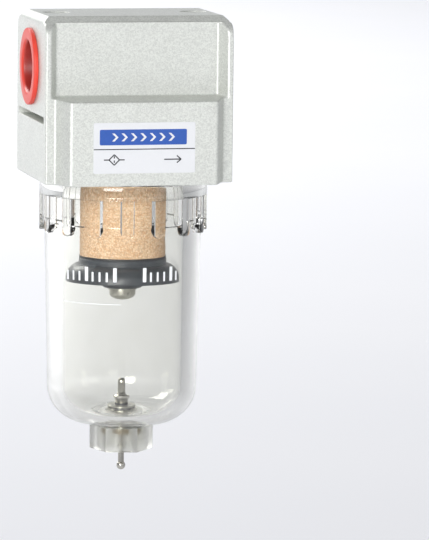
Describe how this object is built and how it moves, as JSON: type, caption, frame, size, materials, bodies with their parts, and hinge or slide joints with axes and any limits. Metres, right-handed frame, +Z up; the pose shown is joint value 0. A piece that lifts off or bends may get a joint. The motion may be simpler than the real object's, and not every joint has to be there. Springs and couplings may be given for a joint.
{
  "type": "compressed air filter",
  "caption": "Compressed air filter: painted metal head with threaded side ports, clear screw-in bowl, sintered element over a baffle, and a push-pin drain underneath.",
  "frame": {"origin": "centre of the head's flat top face", "axes": "+Z up out of the top face, +X along the ports from inlet to outlet, -Y out of the front face with the label; the bowl hangs along -Z"},
  "size_m": [0.042, 0.0401, 0.0981],
  "materials": {
    "head_paint": "satin",
    "label_film": "satin",
    "plug_red": "satin",
    "clear_bowl": "gloss",
    "sintered": "matte",
    "black_moulding": "satin",
    "seal_rubber": "matte",
    "plated_steel": "satin",
    "polished_steel": "polished",
    "brass": "satin"
  },
  "bodies": {
    "head": {"body": "head_paint", "label": "label_film", "deflector": "black_moulding", "element_top_gasket": "seal_rubber", "filter_element": "sintered", "element_bottom_gasket": "seal_rubber", "baffle": "black_moulding", "screw_washer": "plated_steel", "element_screw": "plated_steel"},
    "seal": {"bowl_o_ring": "seal_rubber"},
    "bowl": {"bowl": "clear_bowl", "drain_seat": "brass", "drain_seat_gasket": "seal_rubber", "drain_washer": "plated_steel", "drain_nut": "brass", "drain_spring": "polished_steel"},
    "drain": {"drain_pin": "polished_steel", "drain_seal": "seal_rubber", "drain_spring_clip": "plated_steel"},
    "inlet_plug": {"inlet_plug": "plug_red"},
    "outlet_plug": {"outlet_plug": "plug_red"}
  },
  "joints": [
    {"name": "bowl_lower", "type": "slide", "parent": "head", "child": "seal", "axis": [0, 0, -1], "range_m": [0, 0.007]},
    {"name": "bowl_turn", "type": "hinge", "parent": "seal", "child": "bowl", "pos_m": [0, 0, 0], "axis": [0, 0, -1], "range_deg": [0, 1256]},
    {"name": "drain_push", "type": "slide", "parent": "bowl", "child": "drain", "axis": [0, 0, 1], "range_m": [0, 0.0015], "stiffness_N_per_m": 200, "springref_m": -0.001, "deforming": ["drain_spring"]},
    {"name": "inlet_plug_pull", "type": "slide", "parent": "head", "child": "inlet_plug", "axis": [-1, 0, 0], "range_m": [0, 0.03]},
    {"name": "outlet_plug_pull", "type": "slide", "parent": "head", "child": "outlet_plug", "axis": [1, 0, 0], "range_m": [0, 0.03]}
  ],
  "couplings": [
    {"joint": "bowl_lower", "follows": "bowl_turn", "m_per_rad": 0.00031831}
  ]
}
